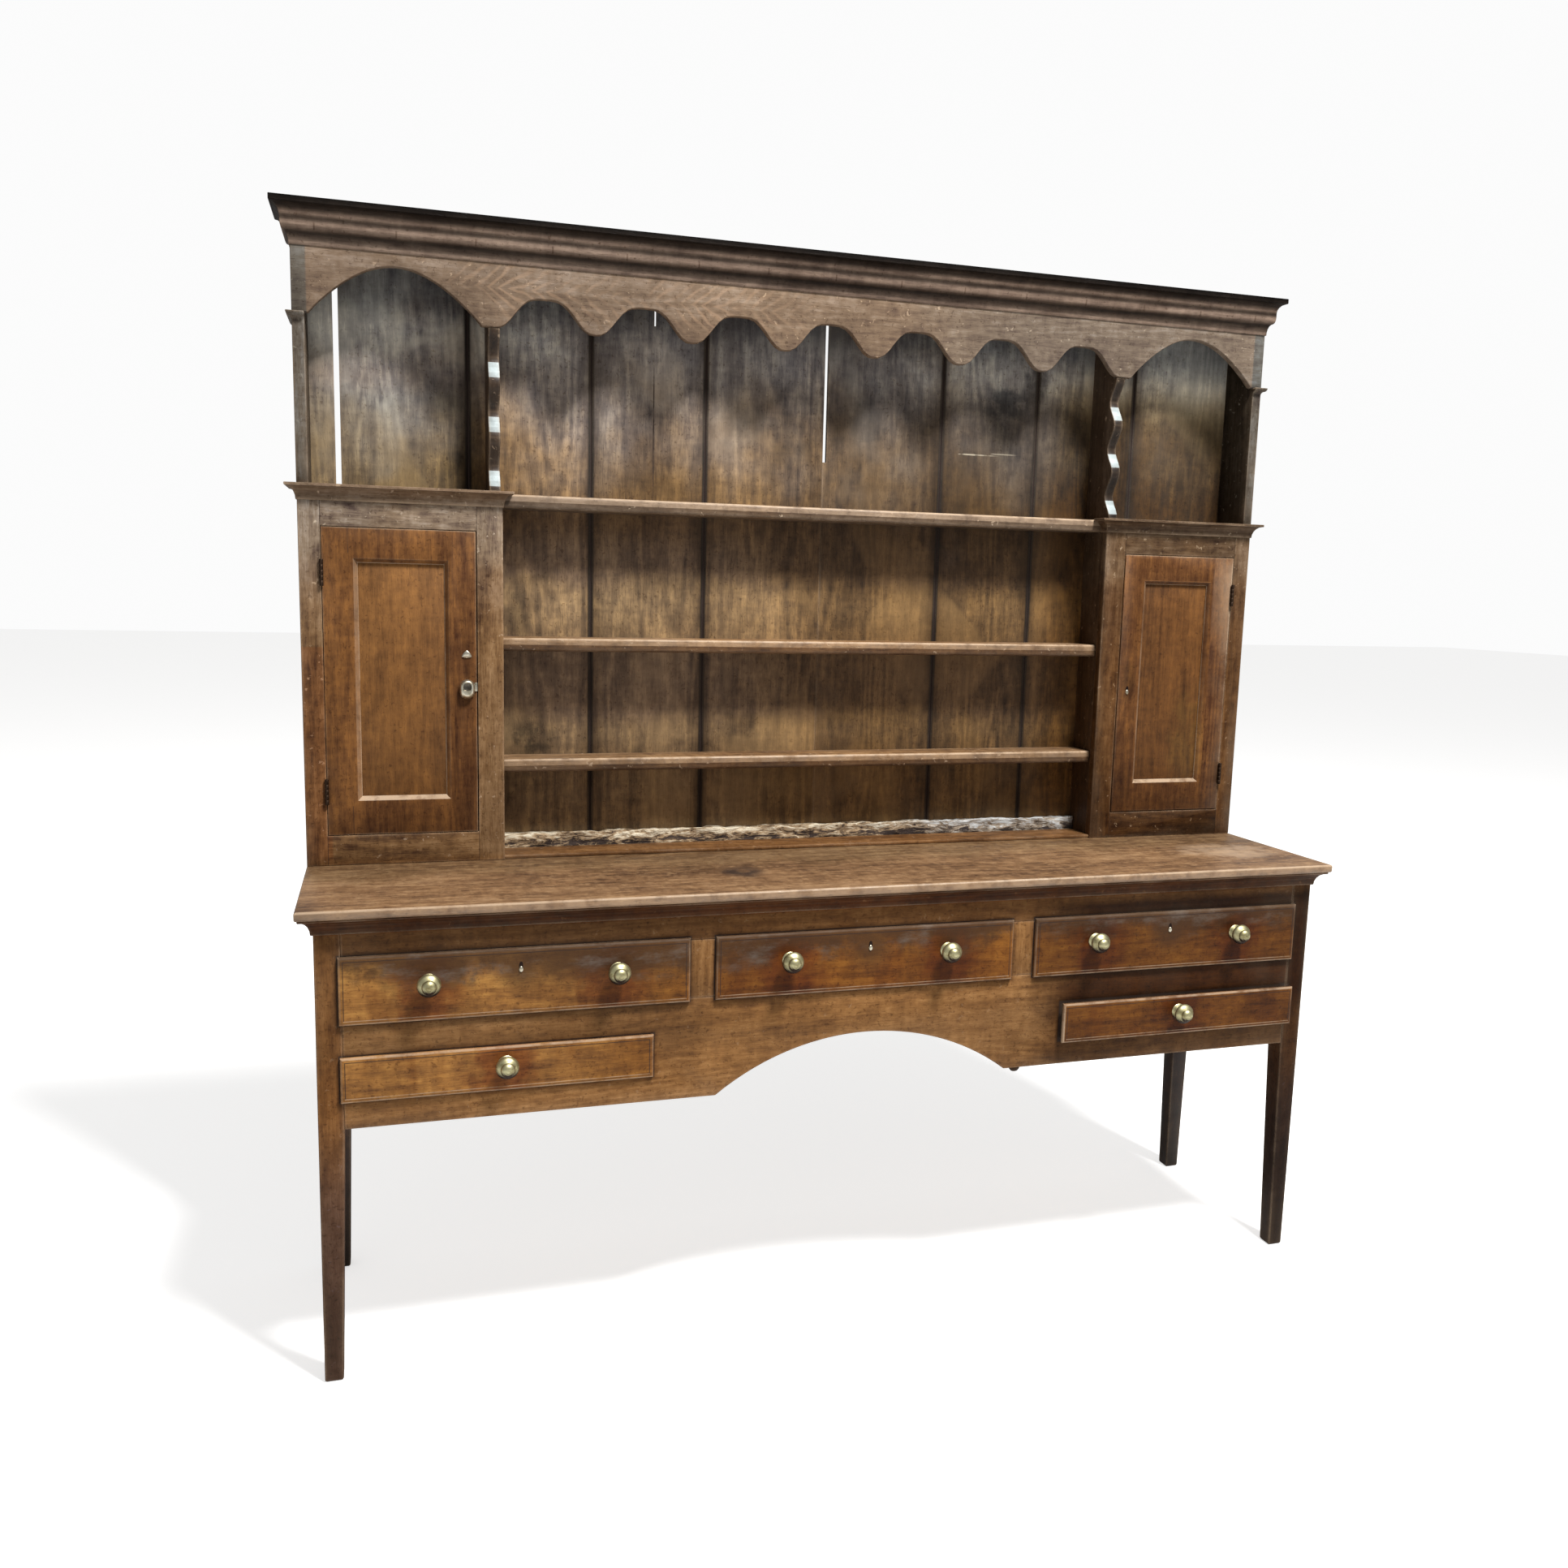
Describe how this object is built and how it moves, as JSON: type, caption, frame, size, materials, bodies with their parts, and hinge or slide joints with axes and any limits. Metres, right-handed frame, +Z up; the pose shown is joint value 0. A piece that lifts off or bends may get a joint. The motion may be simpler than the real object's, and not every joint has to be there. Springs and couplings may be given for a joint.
{
  "type": "welsh dresser",
  "caption": "Oak dresser: a base with drawers on square tapered legs, and a shelved plate rack with two small cupboards, a scalloped frieze and a moulded cornice.",
  "frame": {"origin": "on the floor, below the middle of the overall box", "axes": "+X to the right of someone facing the front, +Y to the back, +Z up; the front faces -Y"},
  "size_m": [2.06, 0.4944, 2.021],
  "materials": {
    "oak_top": "aged waxed oak, mid brown, horizontal grain",
    "oak_case": "aged waxed oak, brown",
    "oak_dark": "aged oak, nearly black brown",
    "oak_warm": "aged waxed oak, orange brown, stained round the fittings",
    "oak_back": "unpolished oak boards, grey brown above and ochre below",
    "oak_raw": "raw oak and pine, dusty",
    "oak_worn": "worm-eaten, whitened oak",
    "old_brass": "old brass, polished by hand",
    "old_iron": "blackened wrought iron"
  },
  "bodies": {
    "root": {"base_top": "oak_top", "base_moulding": "oak_case", "leg_front_left": "oak_case", "leg_front_right": "oak_case", "front_top_rail": "oak_case", "muntin_left": "oak_case", "muntin_right": "oak_case", "front_apron": "oak_case", "end_apron_left": "oak_case", "end_apron_right": "oak_case", "frieze": "oak_case", "end_board_left": "oak_case", "end_board_right": "oak_case", "inner_upright_left": "oak_case", "inner_upright_right": "oak_case", "shelf_top": "oak_case", "shelf_middle": "oak_case", "shelf_bottom": "oak_case", "cupboard_frame_left": "oak_case", "cupboard_frame_right": "oak_case", "cupboard_top_left": "oak_case", "cupboard_top_right": "oak_case", "leg_rear_left": "oak_dark", "leg_rear_right": "oak_dark", "cornice": "oak_dark", "rack_roof": "oak_dark", "backboards_left": "oak_back", "backboards_right": "oak_back", "base_back": "oak_back", "upper_drawer_bearer": "oak_raw", "lower_drawer_bearer_left": "oak_raw", "lower_drawer_bearer_right": "oak_raw", "rack_foot_rail": "oak_worn", "door_hinge_left_lower": "old_iron", "door_hinge_left_upper": "old_iron", "door_hinge_right_lower": "old_iron", "door_hinge_right_upper": "old_iron"},
    "drawer_upper_left": {"drawer_front_upper_left": "oak_warm", "drawer_tray_upper_left": "oak_raw", "drawer_knob_upper_left_1": "old_brass", "drawer_knob_upper_left_2": "old_brass"},
    "drawer_upper_centre": {"drawer_front_upper_centre": "oak_warm", "drawer_tray_upper_centre": "oak_raw", "drawer_knob_upper_centre_1": "old_brass", "drawer_knob_upper_centre_2": "old_brass"},
    "drawer_upper_right": {"drawer_front_upper_right": "oak_warm", "drawer_tray_upper_right": "oak_raw", "drawer_knob_upper_right_1": "old_brass", "drawer_knob_upper_right_2": "old_brass"},
    "drawer_lower_left": {"drawer_front_lower_left": "oak_warm", "drawer_tray_lower_left": "oak_raw", "drawer_knob_lower_left": "old_brass"},
    "drawer_lower_right": {"drawer_front_lower_right": "oak_warm", "drawer_tray_lower_right": "oak_raw", "drawer_knob_lower_right": "old_brass"},
    "door_left": {"door_frame_left": "oak_warm", "door_panel_left": "oak_warm"},
    "door_right": {"door_frame_right": "oak_warm", "door_panel_right": "oak_warm"},
    "catch": {"turn_catch": "old_brass"}
  },
  "joints": [
    {"name": "drawer_upper_left_slide", "type": "slide", "parent": "root", "child": "drawer_upper_left", "axis": [0, -1, 0], "range_m": [0, 0.27]},
    {"name": "drawer_upper_centre_slide", "type": "slide", "parent": "root", "child": "drawer_upper_centre", "axis": [0, -1, 0], "range_m": [0, 0.27]},
    {"name": "drawer_upper_right_slide", "type": "slide", "parent": "root", "child": "drawer_upper_right", "axis": [0, -1, 0], "range_m": [0, 0.27]},
    {"name": "drawer_lower_left_slide", "type": "slide", "parent": "root", "child": "drawer_lower_left", "axis": [0, -1, 0], "range_m": [0, 0.27]},
    {"name": "drawer_lower_right_slide", "type": "slide", "parent": "root", "child": "drawer_lower_right", "axis": [0, -1, 0], "range_m": [-0.01, 0.26]},
    {"name": "door_left_swing", "type": "hinge", "parent": "root", "child": "door_left", "pos_m": [-0.9604, 0.12815, 1.1815], "axis": [0, 0, -1], "range_deg": [0, 110]},
    {"name": "door_right_swing", "type": "hinge", "parent": "root", "child": "door_right", "pos_m": [0.9604, 0.12815, 1.1815], "axis": [0, 0, 1], "range_deg": [0, 110]},
    {"name": "catch_turn", "type": "hinge", "parent": "door_left", "child": "catch", "pos_m": [-0.706, 0.12515, 1.176], "axis": [0, -1, 0], "range_deg": [0, 90]}
  ]
}
